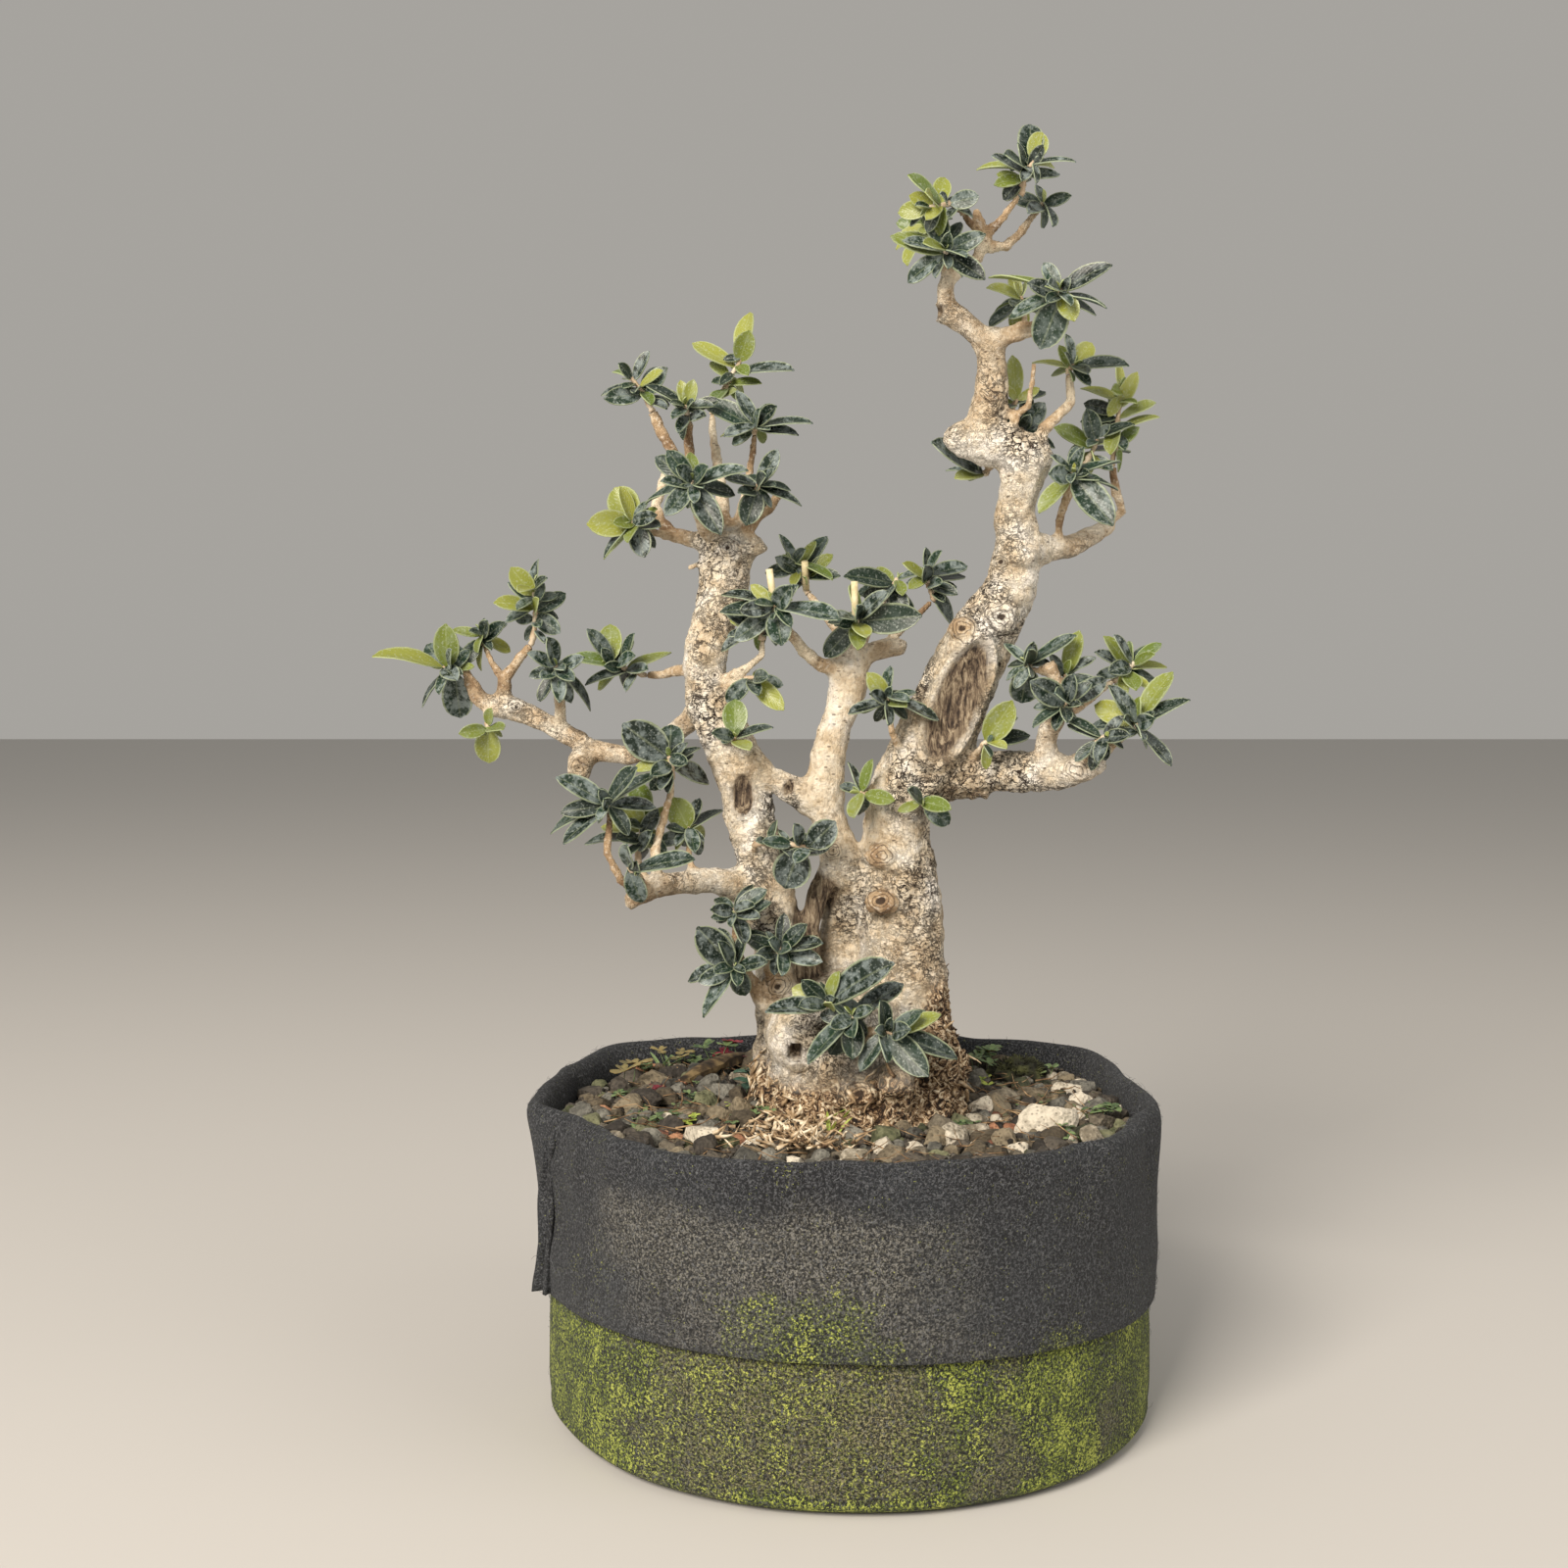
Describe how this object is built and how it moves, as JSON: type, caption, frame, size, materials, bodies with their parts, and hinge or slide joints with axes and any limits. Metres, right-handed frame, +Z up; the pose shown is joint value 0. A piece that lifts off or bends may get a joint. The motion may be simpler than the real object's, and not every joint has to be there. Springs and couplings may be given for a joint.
{
  "type": "olive bonsai",
  "caption": "Olive tree grown as a bonsai, its trunk parted round a deadwood slit, small opposite leaves in sprays on its twigs, standing in gritty soil in a round dark felt grow bag",
  "frame": {"origin": "middle of the bag's flat underside, where it rests", "axes": "+Z up along the trunk, -Y to the tree's front, +X to the right as seen from the front"},
  "size_m": [0.3301, 0.2495, 0.5127],
  "materials": {
    "felt": "matte felt",
    "pumice_grit": "rough",
    "olive_bark": "rough bark",
    "olive_leaf": "satin",
    "young_leaf": "satin"
  },
  "bodies": {
    "root": {"felt_bag": "felt", "soil": "pumice_grit", "spray_big_leaves": "olive_leaf", "spray_crown_back": "young_leaf", "spray_crown_gap": "olive_leaf", "spray_crown_left": "young_leaf", "spray_crown_low": "olive_leaf", "spray_crown_peak": "olive_leaf", "spray_crown_right": "olive_leaf", "spray_crown_side": "olive_leaf", "spray_far_hanging": "young_leaf", "spray_far_inner": "olive_leaf", "spray_far_mid": "olive_leaf", "spray_far_tip": "olive_leaf", "spray_far_up": "olive_leaf", "spray_gap": "olive_leaf", "spray_head_back": "olive_leaf", "spray_head_left": "olive_leaf", "spray_left_far_top": "olive_leaf", "spray_left_lime": "young_leaf", "spray_left_pale": "olive_leaf", "spray_left_peak": "young_leaf", "spray_left_rosette": "olive_leaf", "spray_left_small": "olive_leaf", "spray_left_stem": "olive_leaf", "spray_left_stem_lime": "olive_leaf", "spray_left_stem_low": "olive_leaf", "spray_left_top_mid": "olive_leaf", "spray_low_front": "olive_leaf", "spray_low_inner": "olive_leaf", "spray_low_lime": "young_leaf", "spray_low_rosette": "olive_leaf", "spray_low_upright": "olive_leaf", "spray_mid_back": "olive_leaf", "spray_mid_front": "olive_leaf", "spray_mid_left": "olive_leaf", "spray_mid_left_far": "olive_leaf", "spray_mid_right": "olive_leaf", "spray_mid_top": "olive_leaf", "spray_right_back": "olive_leaf", "spray_right_dark": "olive_leaf", "spray_right_disc": "olive_leaf", "spray_right_high": "young_leaf", "spray_right_inner": "olive_leaf", "spray_right_lime": "olive_leaf", "spray_right_low": "olive_leaf", "spray_right_mid": "olive_leaf", "spray_right_small": "olive_leaf", "spray_right_tip": "olive_leaf", "spray_right_top": "olive_leaf", "spray_sprout_front": "olive_leaf", "spray_sprout_left": "olive_leaf", "spray_sprout_left_front": "olive_leaf", "spray_sprout_mid": "olive_leaf", "spray_sprout_right_front": "olive_leaf", "spray_sprout_tip": "olive_leaf", "spray_stem_edge": "olive_leaf", "spray_stem_front": "olive_leaf", "spray_stem_leaf": "young_leaf", "trunk": "olive_bark"}
  },
  "joints": []
}
